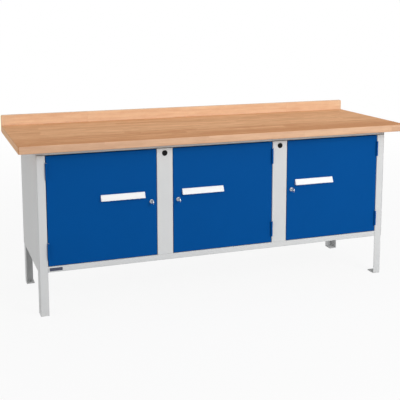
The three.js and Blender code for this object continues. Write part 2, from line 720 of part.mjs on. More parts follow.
// Turning core with its keyway, and the cam that grips behind the column when the key is turned
function lockCore() {
  const face = -COLLAR_HEIGHT - CORE_PROUD;
  const camStart = DOOR_DEPTH + CAM_CLEARANCE;
  const core = prismY(circle(0, 0, CORE_RADIUS), face, camStart + CAM_SHEET, CIRCLE_STEPS);
  const half = CAM_WIDTH / 2;
  const outline = [[-half, -half], [half, -half], [half, CAM_REACH], [-half, CAM_REACH]];
  const tip = half / 2;
  const cam = prismY(rounded(outline, [tip, tip, tip, tip]), camStart, camStart + CAM_SHEET, ARC_STEPS);
  const wide = KEY_SHEET / 2 + SEAT;
  const deep = face + KEY_BLADE_LENGTH + SEAT;
  const keyway = block(-wide, wide, face - SEAT, deep, -KEYWAY_HEIGHT / 2, KEYWAY_HEIGHT / 2);
  return cut(join(core, cam), keyway);
}

// Flat key: blade in the core, shoulder and a round bow with a hole
function key() {
  const face = -COLLAR_HEIGHT - CORE_PROUD;
  const half = KEY_BLADE_HEIGHT / 2;
  const bow = face - KEY_NECK - KEY_BOW_RADIUS;
  const tip = face + KEY_BLADE_LENGTH;
  const blade = rounded([[bow, -half], [tip, -half], [tip, half], [bow, half]], [0, half / 2, half / 2, 0]);
  const hole = bow - KEY_BOW_RADIUS + KEY_HOLE_EDGE + KEY_HOLE_RADIUS;
  const x = KEY_SHEET / 2;
  const disc = prismX(circle(bow, 0, KEY_BOW_RADIUS), -x, x, CIRCLE_STEPS);
  const flat = join(prismX(blade, -x, x, ARC_STEPS), disc);
  return cut(flat, prismX(circle(hole, 0, KEY_HOLE_RADIUS), -x - SEAT, x + SEAT, CIRCLE_STEPS));
}

function lock(bay) {
  return groupAt(
    lockX(bay),
    0,
    LOCK_HEIGHT,
    part(`lock_body_${bay.name}`, lockBody(), finishes.nickel),
    part(`lock_core_${bay.name}`, lockCore(), finishes.nickel),
    part(`key_${bay.name}`, key(), finishes.nickel),
  );
}

// A door with all that hangs on it, its group at the middle of the bay's front
function door(bay, i) {
  const x = (i - (BAYS.length - 1) / 2) * PITCH;
  return groupAt(
    x,
    FRONT,
    0,
    doorPan(bay),
    pull(bay),
    lock(bay),
    hinge(bay, "top", DOOR_TOP - HINGE_INSET),
    hinge(bay, "bottom", DOOR_BOTTOM + HINGE_INSET),
  );
}

const bench = new THREE.Group();
bench.add(worktop(), rearStrip(), backPanel());
SIDES.forEach((side) => {
  ENDS.forEach((end) => bench.add(leg(side, end)));
  bench.add(sidePanel(side));
});
ENDS.forEach((end) => bench.add(bottomRail(end), topRail(end)));
columns.forEach((x, i) => bench.add(column(i), plug(i), partition(i)));
BAYS.forEach((bay, i) => bench.add(floorTray(i), shelf(i), door(bay, i)));

export default bench;
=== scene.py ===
"""Workbench with a beech top and three lockable bays: its finishes, small fittings and a studio stage."""

import json
import math

import bmesh
import bpy
from bpy.props import FloatProperty, FloatVectorProperty, IntProperty, PointerProperty
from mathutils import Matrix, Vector

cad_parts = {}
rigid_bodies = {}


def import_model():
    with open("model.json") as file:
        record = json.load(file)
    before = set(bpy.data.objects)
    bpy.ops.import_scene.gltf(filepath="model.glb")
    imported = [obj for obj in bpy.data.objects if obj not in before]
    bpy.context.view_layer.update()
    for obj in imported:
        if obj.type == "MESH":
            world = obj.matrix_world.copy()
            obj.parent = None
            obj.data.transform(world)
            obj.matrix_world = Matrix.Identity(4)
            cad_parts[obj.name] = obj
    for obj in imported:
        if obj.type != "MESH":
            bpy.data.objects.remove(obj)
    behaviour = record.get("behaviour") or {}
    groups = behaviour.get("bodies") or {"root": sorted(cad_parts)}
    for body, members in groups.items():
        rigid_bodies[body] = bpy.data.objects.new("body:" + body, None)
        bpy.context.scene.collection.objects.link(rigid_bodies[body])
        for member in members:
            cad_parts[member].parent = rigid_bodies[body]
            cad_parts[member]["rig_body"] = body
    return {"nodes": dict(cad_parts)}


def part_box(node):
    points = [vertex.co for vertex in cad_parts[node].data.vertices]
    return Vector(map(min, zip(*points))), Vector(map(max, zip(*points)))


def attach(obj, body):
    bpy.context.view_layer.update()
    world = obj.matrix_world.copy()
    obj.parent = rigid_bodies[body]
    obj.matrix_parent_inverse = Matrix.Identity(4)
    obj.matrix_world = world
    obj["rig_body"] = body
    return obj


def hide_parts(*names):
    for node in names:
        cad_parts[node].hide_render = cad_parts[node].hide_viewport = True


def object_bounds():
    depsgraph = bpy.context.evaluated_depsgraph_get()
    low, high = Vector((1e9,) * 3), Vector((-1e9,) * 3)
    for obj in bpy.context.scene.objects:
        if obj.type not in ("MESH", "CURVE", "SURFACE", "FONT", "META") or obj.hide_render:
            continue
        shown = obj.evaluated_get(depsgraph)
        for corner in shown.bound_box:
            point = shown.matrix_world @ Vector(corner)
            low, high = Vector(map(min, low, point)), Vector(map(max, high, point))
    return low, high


bl_info = {
    "name": "Cabinet Workbench",
    "version": (1, 0, 0),
    "blender": (4, 5, 0),
    "location": "View3D > Sidebar > Workbench",
    "description": "Gives the workbench's solids their finishes, small fittings and a studio stage",
    "category": "Object",
}

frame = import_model()
CAD_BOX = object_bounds()

BAYS = ("left", "middle", "right")
SIDES = ("left", "right")
ENDS = ("front", "rear")
HEIGHTS = ("top", "bottom")

# Solids are loose triangles: points closer than this are one, and flatter edges than this are dropped
MERGE_DISTANCE = 1e-6
FLAT_ANGLE = math.radians(1)

# Edges sharper than this are rounded or stay sharp, and a round piece that is turned anew has this many sides
SHARP_ANGLE = math.radians(28)
ROUND_SIDES = 64

# Places of the mix node's colour sockets
MIX_FACTOR, MIX_FIRST, MIX_SECOND, MIX_RESULT = 0, 6, 7, 2

# What the colour of the beech is multiplied by in each of its marks
ROSE = (1.02, 0.955, 0.93, 1)
STREAK = (0.62, 0.47, 0.36, 1)
FLECK = (0.5, 0.34, 0.24, 1)
GLUE = (0.55, 0.4, 0.3, 1)
PORE = (0.74, 0.62, 0.52, 1)

# Colours towards which faces of the beech turn: a painted sheen on the face of its first edge, and painted light
# on its end grain
EDGE_SHEEN = (0.56, 0.46, 0.39, 1)
END_PAINTED_LIGHT = (1.0, 0.66, 0.42, 1)

# Spacing of the growth rings, how far off their middle may lie, and how far in from its first edge the beech is
# darkened by painted shade
RING_SPACING = 0.0058
HEART_SPREAD = 0.22
FRONT_SHADE_REACH = 0.25

# Lowest and highest tone of each plain finish
COAT_TONES = ((0.965, 0.965, 0.97, 1), (1.02, 1.02, 1.015, 1))
MOULDED_TONES = ((0.955, 0.957, 0.96, 1), (1.0, 1.0, 1.0, 1))
PLATED_TONES = ((0.86, 0.87, 0.9, 1), (1.0, 1.0, 1.0, 1))
FLOOR_TONES = ((0.71, 0.71, 0.71, 1), (0.73, 0.73, 0.73, 1))
WHITE = (1, 1, 1, 1)

# Fastener heads: sides, rings, how much the top of the dome is drawn in, and the depth of the drive in the height
HEAD_SIDES = 24
HEAD_RINGS = 5
HEAD_DRAW_IN = 0.62
DRIVE_DEPTH = 0.6

# Half the side of the studio floor, and the width of the camera's sensor in millimetres
FLOOR_HALF = 60
SENSOR_WIDTH = 36


def srgb(red, green, blue):
    """Scene colour of a screen colour, whose parts go from 0 to 255."""

    def linear(level):
        share = level / 255
        return share / 12.92 if share <= 0.04045 else ((share + 0.055) / 1.055) ** 2.4

    return linear(red), linear(green), linear(blue)


def colour(name, description, default):
    """Property for a colour that a user may change."""
    return FloatVectorProperty(
        name=name, description=description, default=default, subtype="COLOR", size=3, min=0, max=1
    )


def distance(name, description, default):
    """Property for a length in metres."""
    return FloatProperty(
        name=name, description=description, default=default, subtype="DISTANCE", unit="LENGTH", min=0, precision=4
    )


def number(name, description, default, low, high=100):
    """Property for a count or a seed."""
    return IntProperty(name=name, description=description, default=default, min=low, max=high)


def position(name, description, default):
    """Property for a point in the studio."""
    return FloatVectorProperty(
        name=name, description=description, default=default, size=3, subtype="XYZ", unit="LENGTH"
    )


def tilt(name, description, default):
    """Property for an angle in radians."""
    return FloatProperty(name=name, description=description, default=default, subtype="ANGLE", unit="ROTATION")


def wattage(name, description, default):
    """Property for the power of a lamp in watts."""
    return FloatProperty(name=name, description=description, default=default, min=0, unit="POWER")


def portion(name, description, default):
    """Property for a share from none to all."""
    return FloatProperty(name=name, description=description, default=default, min=0, max=1, subtype="FACTOR")


class FinishSettings(bpy.types.PropertyGroup):
    """Colours of the finishes and the sizes of their patterns"""

    top_pale: colour("Pale worktop", "Colour of the palest pieces of the worktop", srgb(240, 190, 146))
    top_dark: colour("Dark worktop", "Colour of the darkest pieces of the worktop", srgb(205, 148, 104))
    strip_pale: colour("Pale strip", "Colour of the palest pieces of the strip", srgb(250, 215, 179))
    strip_dark: colour("Dark strip", "Colour of the darkest pieces of the strip", srgb(231, 185, 148))
    grey_paint: colour("Grey paint", "Colour of the frame and the cabinets", srgb(212, 213, 213))
    blue_paint: colour("Blue paint", "Colour of the doors and hinges", srgb(0, 77, 147))
    white_plastic: colour("White plastic", "Colour of the pulls", srgb(250, 251, 252))
    black_plastic: colour("Black plastic", "Colour of the plugs in the columns", srgb(8, 8, 9))
    nickel: colour("Nickel", "Colour of the locks, keys and hinge pins", srgb(204, 207, 211))
    zinc: colour("Zinc", "Colour of the screws and rivets", srgb(176, 180, 184))
    paper: colour("Label paper", "Colour of the bare strips in the pulls", srgb(252, 252, 251))
    badge: colour("Badge", "Colour of the bare plate on the bottom rail", srgb(74, 78, 96))
    stave_width: distance("Stave width", "Width of the glued pieces in the worktop", 0.043)
    stave_length: distance("Stave length", "Usual length of the glued pieces in the worktop", 0.52)
    strip_stave_width: distance("Strip stave width", "Width of the glued pieces in the strip", 0.11)
    strip_stave_length: distance("Strip stave length", "Usual length of the glued pieces in the strip", 0.95)
    # Painted shade: how much the worktop is darkened towards its front edge, where less light falls
    handling: portion("Handling", "How much darker the worktop is by its front edge", 0.7)
    peel_size: distance("Peel size", "Spacing of the dimples in the powder coat", 0.0016)
    grain_size: distance("Grain size", "Spacing of the grain in moulded plastic", 0.0006)


class FittingSettings(bpy.types.PropertyGroup):
    """Sizes of the rounded edges and of the small fittings"""

    sheet_round: distance("Sheet edge", "Width of the rounding on sheet edges", 0.0003)
    plastic_round: distance("Plastic edge", "Width of the rounding on moulded edges", 0.0005)
    metal_round: distance("Metal edge", "Width of the rounding on turned and stamped edges", 0.00025)
    beech_round: distance("Beech edge", "Width of the rounding on holes in the beech", 0.0004)
    rivet_diameter: distance("Rivet head", "Diameter of the rivet heads on the back", 0.0088)
    rivet_height: distance("Rivet height", "Height of the rivet heads", 0.0016)
    rivet_rows: number("Rivet rows", "Rivets in each upright row", 5, low=2)
    screw_diameter: distance("Screw head", "Diameter of the screw heads", 0.0092)
    screw_height: distance("Screw height", "Height of the screw heads", 0.003)
    strip_screws: number("Strip screws", "Screws that hold the strip", 7, low=2)
    rail_screws: number("Rail screws", "Screws between the front rail and the top", 6, low=2)
    fastener_seed: number("Fastener seed", "Seed of how far each screw is turned", 11, low=0)
    label_thickness: distance("Label thickness", "Thickness of the paper strips", 0.00035)
    badge_length: distance("Badge length", "Length of the bare plate", 0.06)
    badge_height: distance("Badge height", "Height of the bare plate", 0.015)
    badge_thickness: distance("Badge thickness", "Thickness of the bare plate", 0.001)
    badge_inset: distance("Badge inset", "From the left end of the rail to the bare plate", 0.006)


class StageSettings(bpy.types.PropertyGroup):
    """Camera and lights of the studio"""

    camera_place: position("Camera", "Where the camera stands", (-1.4153, -3.8742, 1.4239))
    camera_turn: tilt("Camera turn", "Turn of the camera to the right", 0.3549)
    camera_dip: tilt("Camera dip", "Tilt of the camera below the horizon", 0.1492)
    camera_lens: FloatProperty(
        name="Lens", description="Focal length in millimetres on a 36 mm wide sensor", default=71.72, min=1
    )
    camera_shift: FloatVectorProperty(
        name="Shift", description="Shift of the picture, as a share of its width", size=2, default=(-0.02, -0.18)
    )
    sky_level: portion("Sky", "Level of the light that comes from all round", 0.52)
    lamp_size: distance("Lamp size", "Side of each lamp", 2.4)
    softbox_place: position("Softbox", "Where the large front lamp stands", (1.7, -4.4, 2.5))
    softbox_power: wattage("Softbox power", "Power of the large front lamp", 125)
    overhead_place: position("Overhead", "Where the lamp above the worktop hangs", (0.3, 0.5, 5.0))
    overhead_power: wattage("Overhead power", "Power of the lamp above the worktop", 24)
    fill_place: position("Fill", "Where the lamp that fills the left side stands", (-5.0, -1.5, 1.8))
    fill_power: wattage("Fill power", "Power of the lamp that fills the left side", 23)
    floor_glow: portion("Floor glow", "Share of white in the floor that the camera sees by the bench", 0.9)
    floor_near: distance("Floor near", "Distance from the bench at which the floor begins to fade to white", 1.4)
    floor_far: distance("Floor far", "Distance from the bench at which the floor is white", 5.0)


def node(tree, kind, inputs=None, **options):
    """New node. An input, named or numbered, is linked where it is a socket and set where it is a value."""
    made = tree.nodes.new(kind)
    for option, value in options.items():
        setattr(made, option, value)
    for key, value in (inputs or {}).items():
        if isinstance(value, bpy.types.NodeSocket):
            tree.links.new(value, made.inputs[key])
        else:
            made.inputs[key].default_value = value
    return made


def arithmetic(tree, operation, *terms):
    """Result of one math node."""
    return node(tree, "ShaderNodeMath", dict(enumerate(terms)), operation=operation).outputs[0]


def vector_arithmetic(tree, operation, *terms):
    """Result of one vector math node."""
    return node(tree, "ShaderNodeVectorMath", dict(enumerate(terms)), operation=operation).outputs[0]


def blended(tree, factor, first, second, blend="MIX"):
    """Colour between two colours."""
    inputs = {MIX_FACTOR: factor, MIX_FIRST: first, MIX_SECOND: second}
    return node(tree, "ShaderNodeMix", inputs, data_type="RGBA", blend_type=blend).outputs[MIX_RESULT]


def spread(tree, value, low, high, to_low=0.0, to_high=1.0):
    """Value moved from one range to another, and held inside it."""
    inputs = {"Value": value, "From Min": low, "From Max": high, "To Min": to_low, "To Max": to_high}
    return node(tree, "ShaderNodeMapRange", inputs).outputs[0]


def noise(tree, vector, scale, detail=2.0, roughness=0.5):
    """Soft random value over a surface."""
    inputs = {"Vector": vector, "Scale": scale, "Detail": detail, "Roughness": roughness}
    return node(tree, "ShaderNodeTexNoise", inputs).outputs[0]


def stretched(tree, vector, x, y, z):
    """Coordinates with each axis multiplied, so that a pattern runs along the axis with the least."""
    return vector_arithmetic(tree, "MULTIPLY", vector, (x, y, z))


def toned(tree, shade, chance, tones):
    """Colour multiplied by a tone between two, which follows a soft random value."""
    tone = blended(tree, spread(tree, chance, 0.3, 0.7), *tones)
    return blended(tree, 1.0, shade, tone, "MULTIPLY")


def effect(name, colours, values):
    """Empty shader node group. A vector, colours and values go in, and a colour, roughness and height come out."""
    tree = bpy.data.node_groups.new(name, "ShaderNodeTree")
    inputs = {"Vector": "NodeSocketVector"}
    inputs |= dict.fromkeys(colours, "NodeSocketColor") | dict.fromkeys(values, "NodeSocketFloat")
    outputs = {"Colour": "NodeSocketColor", "Roughness": "NodeSocketFloat", "Height": "NodeSocketFloat"}
    for direction, sockets in (("INPUT", inputs), ("OUTPUT", outputs)):
        for label, kind in sockets.items():
            tree.interface.new_socket(label, in_out=direction, socket_type=kind)
    return tree, tree.nodes.new("NodeGroupInput").outputs


def close_effect(tree, shade, roughness, height):
    """Link the results of an effect to its outputs."""
    node(tree, "NodeGroupOutput", {"Colour": shade, "Roughness": roughness, "Height": height})
    return tree


def beech_staves():
    """Effect of glued beech: staves along X, side by side along Y, with end grain made paler by painted light, a
    painted sheen on the face of one edge, and painted shade that darkens the beech towards that edge.
    """
    values = ("Stave Width", "Stave Length", "Half Length", "First Edge", "Handling")
    tree, given = effect("Beech staves", ("Pale", "Dark"), values)
    place = node(tree, "ShaderNodeSeparateXYZ", {"Vector": given["Vector"]}).outputs
    across = arithmetic(tree, "DIVIDE", place["Y"], given["Stave Width"])
    row = arithmetic(tree, "FLOOR", across)
    row_chance = node(tree, "ShaderNodeTexWhiteNoise", {"W": row}, noise_dimensions="1D").outputs["Value"]
    row_length = arithmetic(tree, "MULTIPLY", given["Stave Length"], spread(tree, row_chance, 0, 1, 0.7, 1.3))
    run = arithmetic(tree, "DIVIDE", place["X"], row_length)
    along = arithmetic(tree, "MULTIPLY_ADD", row_chance, 37.0, run)
    piece = node(tree, "ShaderNodeCombineXYZ", {"X": row, "Y": arithmetic(tree, "FLOOR", along)}).outputs[0]
    chance = node(tree, "ShaderNodeTexWhiteNoise", {"Vector": piece}, noise_dimensions="2D").outputs

    shifted = vector_arithmetic(tree, "MULTIPLY_ADD", chance["Color"], (9.0, 9.0, 9.0), given["Vector"])
    rings = noise(tree, stretched(tree, shifted, 3.0, 62.0, 62.0), 1.0, detail=3.0, roughness=0.55)
    lines = noise(tree, stretched(tree, shifted, 14.0, 620.0, 620.0), 1.0, detail=3.0, roughness=0.6)
    flecks = noise(tree, stretched(tree, shifted, 190.0, 1500.0, 1500.0), 1.0, detail=1.0)
    fleck = spread(tree, flecks, 0.6, 0.72)

    spans = (0, HEART_SPREAD, HEART_SPREAD)
    starts = (0, -HEART_SPREAD / 2, -HEART_SPREAD / 2)
    heart = vector_arithmetic(tree, "MULTIPLY_ADD", chance["Color"], spans, starts)
    beside = vector_arithmetic(tree, "MULTIPLY_ADD", given["Vector"], (0, 1, 1), heart)
    from_heart = node(tree, "ShaderNodeVectorMath", {0: beside}, operation="LENGTH").outputs["Value"]
    tapered = arithmetic(tree, "MULTIPLY_ADD", place["X"], 0.014, from_heart)
    wavy = arithmetic(tree, "MULTIPLY_ADD", rings, 0.016, tapered)
    growth = arithmetic(tree, "SINE", arithmetic(tree, "MULTIPLY", wavy, math.tau / RING_SPACING))

    tint = spread(tree, chance["Value"], 0, 1, 0.22, 0.62)
    mottle = noise(tree, stretched(tree, shifted, 16.0, 46.0, 46.0), 1.0, detail=2.0)
    figure = arithmetic(
        tree, "ADD", spread(tree, rings, 0.3, 0.7, -0.28, 0.32), spread(tree, mottle, 0.3, 0.7, -0.16, 0.16)
    )
    to_edge = arithmetic(tree, "SUBTRACT", place["Y"], given["First Edge"])
    # Mask of the face of the first edge, which gets a painted sheen
    edge_sheen = spread(tree, to_edge, 0.0003, 0.0016, 1.0, 0.0)
    # Painted shade: the beech darkens towards its first edge, where less light falls, except on the face of that
    # edge
    reach = arithmetic(tree, "SUBTRACT", spread(tree, to_edge, 0.0, FRONT_SHADE_REACH, 1.0, 0.0), edge_sheen)
    front_shaded = arithmetic(tree, "MULTIPLY", reach, given["Handling"])
    broad = arithmetic(tree, "ADD", arithmetic(tree, "ADD", tint, figure), front_shaded)
    depth = arithmetic(tree, "MULTIPLY_ADD", growth, 0.13, broad)
    shade = blended(tree, depth, given["Pale"], given["Dark"])
    rose = spread(tree, node(tree, "ShaderNodeSeparateColor", {0: chance["Color"]}).outputs[1], 0.55, 1.0)
    shade = blended(tree, arithmetic(tree, "MULTIPLY", rose, 0.35), shade, ROSE, "MULTIPLY")
    streak = spread(tree, lines, 0.35, 0.75, 0.0, 0.16)
    shade = blended(tree, streak, shade, STREAK, "MULTIPLY")
    shade = blended(tree, arithmetic(tree, "MULTIPLY", fleck, 0.3), shade, FLECK, "MULTIPLY")

    side = arithmetic(tree, "PINGPONG", across, 0.5)
    side_gap = arithmetic(tree, "MULTIPLY", side, given["Stave Width"])
    end_gap = arithmetic(tree, "MULTIPLY", arithmetic(tree, "PINGPONG", along, 0.5), row_length)
    glue = spread(tree, arithmetic(tree, "MINIMUM", side_gap, end_gap), 0.00012, 0.0005, 1.0, 0.0)
    shade = blended(tree, arithmetic(tree, "MULTIPLY", glue, 0.4), shade, GLUE, "MULTIPLY")

    to_end = arithmetic(tree, "SUBTRACT", given["Half Length"], arithmetic(tree, "ABSOLUTE", place["X"]))
    end = spread(tree, to_end, 0.0001, 0.0005, 1.0, 0.0)
    pores = noise(tree, stretched(tree, shifted, 40.0, 1100.0, 420.0), 1.0, detail=2.0)
    # Painted light: the end grain is turned paler than beech end grain really is, standing in for light that falls
    # on it, with its real pores over that
    painted_light_end = blended(tree, 0.7, shade, END_PAINTED_LIGHT)
    end_shade = blended(tree, spread(tree, pores, 0.35, 0.7, 0.0, 0.4), painted_light_end, PORE, "MULTIPLY")
    shade = blended(tree, end, shade, end_shade)
    # Painted sheen: the face of the first edge is turned towards a greyer tone, in place of a reflection
    shade = blended(tree, arithmetic(tree, "MULTIPLY", edge_sheen, 0.32), shade, EDGE_SHEEN)

    dull = spread(tree, lines, 0.3, 0.7, 0.56, 0.68)
    roughness = arithmetic(tree, "MULTIPLY_ADD", end, 0.12, dull)
    relief = arithmetic(tree, "MULTIPLY_ADD", fleck, -0.5, lines)
    height = arithmetic(tree, "MULTIPLY_ADD", glue, -0.8, relief)
    return close_effect(tree, shade, roughness, height)


def powder_coat():
    """Effect of powder coat: faint clouds of tone, dimples like orange peel and a fine sparkle of gloss."""
    tree, given = effect("Powder coat", ("Colour",), ("Peel Size",))
    clouds = noise(tree, given["Vector"], 2.6, detail=3.0, roughness=0.6)
    shade = toned(tree, given["Colour"], clouds, COAT_TONES)
    peel = noise(tree, given["Vector"], arithmetic(tree, "DIVIDE", 1.0, given["Peel Size"]), detail=1.0)
    specks = noise(tree, given["Vector"], 2600.0, detail=0.0)
    shade = blended(tree, spread(tree, specks, 0.62, 0.8, 0.0, 0.12), shade, WHITE, "SOFT_LIGHT")
    gloss = spread(tree, specks, 0.25, 0.75, 0.4, 0.52)
    roughness = arithmetic(tree, "MULTIPLY_ADD", clouds, 0.1, gloss)
    height = arithmetic(tree, "MULTIPLY_ADD", specks, 0.15, peel)
    return close_effect(tree, shade, roughness, height)


def moulded_grain():
    """Effect of moulded plastic: a fine eroded grain and slow changes of tone from the flow of the melt."""
    tree, given = effect("Moulded grain", ("Colour",), ("Grain Size",))
    grain = noise(tree, given["Vector"], arithmetic(tree, "DIVIDE", 1.0, given["Grain Size"]), detail=2.0)
    flow = noise(tree, stretched(tree, given["Vector"], 6.0, 30.0, 30.0), 1.0, detail=2.0)
    shade = toned(tree, given["Colour"], flow, MOULDED_TONES)
    roughness = arithmetic(tree, "MULTIPLY_ADD", flow, 0.08, spread(tree, grain, 0.25, 0.75, 0.36, 0.5))
    return close_effect(tree, shade, roughness, grain)


def plated_metal():
    """Effect of bright plating: hair scratches in two directions, and cloudy changes of gloss and tone."""
    tree, given = effect("Plated metal", ("Colour",), ("Gloss",))
    upright = noise(tree, stretched(tree, given["Vector"], 5200.0, 5200.0, 160.0), 1.0, detail=2.0)
    level = noise(tree, stretched(tree, given["Vector"], 190.0, 4600.0, 4600.0), 1.0, detail=2.0)
    scratches = arithmetic(tree, "MAXIMUM", upright, level)
    clouds = noise(tree, given["Vector"], 140.0, detail=3.0)
    shade = toned(tree, given["Colour"], clouds, PLATED_TONES)
    scuffed = spread(tree, scratches, 0.45, 0.8, 0.0, 0.16)
    dull = arithmetic(tree, "MULTIPLY_ADD", clouds, 0.14, scuffed)
    roughness = arithmetic(tree, "SUBTRACT", arithmetic(tree, "ADD", dull, 0.3), given["Gloss"])
    return close_effect(tree, shade, roughness, scratches)


def effect_group(make):
    """The node group of an effect, built the first time it is asked for."""
    label = make.__name__.replace("_", " ").capitalize()
    return bpy.data.node_groups.get(label) or make()


def surface(name, make, values, bump, depth, specular=0.5, metallic=0.0, turn=(0, 0, 0)):
    """Material with one effect on Object coordinates, which feeds its colour, roughness and bump."""
    material = bpy.data.materials.new(name)
    material.use_nodes = True
    tree = material.node_tree
    shader = tree.nodes["Principled BSDF"]
    shader.inputs["Metallic"].default_value = metallic
    shader.inputs["Specular IOR Level"].default_value = specular
    place = tree.nodes.new("ShaderNodeTexCoord").outputs["Object"]
    turned = node(tree, "ShaderNodeMapping", {"Vector": place, "Rotation": turn}).outputs[0]
    pattern = node(tree, "ShaderNodeGroup", {"Vector": turned, **values}, node_tree=effect_group(make))
    relief = {"Height": pattern.outputs["Height"], "Strength": bump, "Distance": depth}
    tree.links.new(pattern.outputs["Colour"], shader.inputs["Base Color"])
    tree.links.new(pattern.outputs["Roughness"], shader.inputs["Roughness"])
    tree.links.new(node(tree, "ShaderNodeBump", relief).outputs["Normal"], shader.inputs["Normal"])
    return material


def rgba(value):
    """Colour with full cover."""
    return (*value, 1.0)


def beech(name, pale, dark, stave_width, stave_length, first_edge, handling, turn=(0, 0, 0)):
    """Oiled beech, glued from staves, and darkened by painted shade towards its first edge."""
    values = {
        "Pale": rgba(pale),
        "Dark": rgba(dark),
        "Stave Width": stave_width,
        "Stave Length": stave_length,
        "Half Length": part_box("worktop")[1].x,
        "First Edge": first_edge,
        "Handling": handling,
    }
    return surface(name, beech_staves, values, bump=0.18, depth=0.0002, specular=0.02, turn=turn)


def paint(name, shade, specular):
    """Powder coat of one colour."""
    values = {"Colour": rgba(shade), "Peel Size": bpy.context.scene.workbench_finishes.peel_size}
    return surface(name, powder_coat, values, bump=0.12, depth=0.0001, specular=specular)


def plastic(name, shade, specular):
    """Moulded plastic of one colour."""
    values = {"Colour": rgba(shade), "Grain Size": bpy.context.scene.workbench_finishes.grain_size}
    return surface(name, moulded_grain, values, bump=0.1, depth=0.0001, specular=specular)


def plating(name, shade, gloss):
    """Plated steel or brass."""
    values = {"Colour": rgba(shade), "Gloss": gloss}
    return surface(name, plated_metal, values, bump=0.05, depth=0.00003, metallic=1.0)


def finish(name):
    """One of the finishes, made the first time it is asked for."""
    settings = bpy.context.scene.workbench_finishes
    upright = (math.radians(90), 0, 0)
    makers = {
        "Beech worktop": lambda: beech(
            "Beech worktop", settings.top_pale, settings.top_dark,
            settings.stave_width, settings.stave_length,
            first_edge=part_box("worktop")[0].y, handling=settings.handling,
        ),
        "Beech strip": lambda: beech(
            "Beech strip", settings.strip_pale, settings.strip_dark,
            settings.strip_stave_width, settings.strip_stave_length,
            first_edge=-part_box("rear_strip")[1].z, handling=0.0, turn=upright,
        ),
        "Grey paint": lambda: paint("Grey paint", settings.grey_paint, specular=0.3),
        "Blue paint": lambda: paint("Blue paint", settings.blue_paint, specular=0.04),
        "White plastic": lambda: plastic("White plastic", settings.white_plastic, specular=0.35),
        "Black plastic": lambda: plastic("Black plastic", settings.black_plastic, specular=0.12),
        "Label paper": lambda: plastic("Label paper", settings.paper, specular=0.1),
        "Badge plate": lambda: plastic("Badge plate", settings.badge, specular=0.3),
        "Nickel plating": lambda: plating("Nickel plating", settings.nickel, gloss=0.12),
        "Zinc plating": lambda: plating("Zinc plating", settings.zinc, gloss=0.0),
    }
    return bpy.data.materials.get(name) or makers[name]()


def new_object(name, mesh):
    """Object at the origin, in the scene."""
    made = bpy.data.objects.new(name, mesh)
    bpy.context.scene.collection.objects.link(made)
    return made


def keep_shape(piece):
    """Turn the result of a piece's modifiers into its plain mesh."""
    depsgraph = bpy.context.evaluated_depsgraph_get()
    shown = piece.evaluated_get(depsgraph)
    mesh = bpy.data.meshes.new_from_object(shown, preserve_all_data_layers=True, depsgraph=depsgraph)
    before = piece.data
    piece.modifiers.clear()
    piece.data = mesh
    bpy.data.meshes.remove(before)


def round_edges(piece, width):
    """Round the sharp edges of a piece, and shade it so that its flat faces stay flat."""
    piece.data.shade_smooth()
    rounding = piece.modifiers.new("Rounding", "BEVEL")
    rounding.width = width
    rounding.segments = 2
    rounding.limit_method = "ANGLE"
    rounding.angle_limit = SHARP_ANGLE
    rounding.use_clamp_overlap = False
    rounding.loop_slide = False
    shading = piece.modifiers.new("Flat faces", "WEIGHTED_NORMAL")
    shading.keep_sharp = True
    keep_shape(piece)


def flat_faced(solid):
    """Copy of a solid as a bmesh with joined points, whole flat faces, and triangles where those are notched."""
    source = frame["nodes"][solid].data
    made = bmesh.new()
    points = [made.verts.new(vertex.co) for vertex in source.vertices]
    for polygon in source.polygons:
        made.faces.new([points[index] for index in polygon.vertices])
    bmesh.ops.remove_doubles(made, verts=made.verts, dist=MERGE_DISTANCE)
    bmesh.ops.dissolve_limit(made, angle_limit=FLAT_ANGLE, verts=made.verts, edges=made.edges)
    made.normal_update()
    notched = [face for face in made.faces if not all(corner.is_convex for corner in face.loops)]
    bmesh.ops.triangulate(made, faces=notched)
    made.normal_update()
    return made


def as_mesh(name, made):
    """Plain mesh of a bmesh, which is then closed."""
    mesh = bpy.data.meshes.new(name)
    made.to_mesh(mesh)
    made.free()
    return mesh


def finely_turned(solid):
    """Copy of a solid that is round about Y as a bmesh, on the rings of its points but with more sides."""
    low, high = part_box(solid)
    middle = (low + high) / 2
    digits = 5
    rings = set()
    for vertex in frame["nodes"][solid].data.vertices:
        radius = round(math.hypot(vertex.co.x - middle.x, vertex.co.z - middle.z), digits)
        if radius:
            rings.add((round(vertex.co.y, digits + 1), -radius))
    made = bmesh.new()
    turns = [math.tau * step / ROUND_SIDES for step in range(ROUND_SIDES)]
    loops = [
        [made.verts.new((middle.x - radius * math.cos(a), y, middle.z - radius * math.sin(a))) for a in turns]
        for y, radius in sorted(rings)
    ]
    for front, rear in zip(loops, loops[1:]):
        for index in range(ROUND_SIDES):
            after = (index + 1) % ROUND_SIDES
            made.faces.new((front[index], rear[index], rear[after], front[after]))
    made.faces.new(loops[0])
    made.faces.new(list(reversed(loops[-1])))
    bmesh.ops.recalc_face_normals(made, faces=made.faces)
    return made


def finished(solid, finish_name, width, cutter=None, shape=flat_faced):
    """Piece that stands for a solid: cut where it is drilled, with rounded edges and its finish."""
    name = f"{solid}_finished"
    piece = new_object(name, as_mesh(name, shape(solid)))
    if cutter:
        drilling = piece.modifiers.new("Drilling", "BOOLEAN")
        drilling.operation = "DIFFERENCE"
        drilling.solver = "EXACT"
        drilling.object = cutter
        keep_shape(piece)
    round_edges(piece, width)
    piece.data.materials.clear()
    piece.data.materials.append(finish(finish_name))
    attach(piece, frame["nodes"][solid]["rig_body"])
    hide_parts(solid)
    return piece


def spaced(count, low, high):
    """Evenly spaced places from low to high, both included."""
    return [low + (high - low) * step / (count - 1) for step in range(count)]


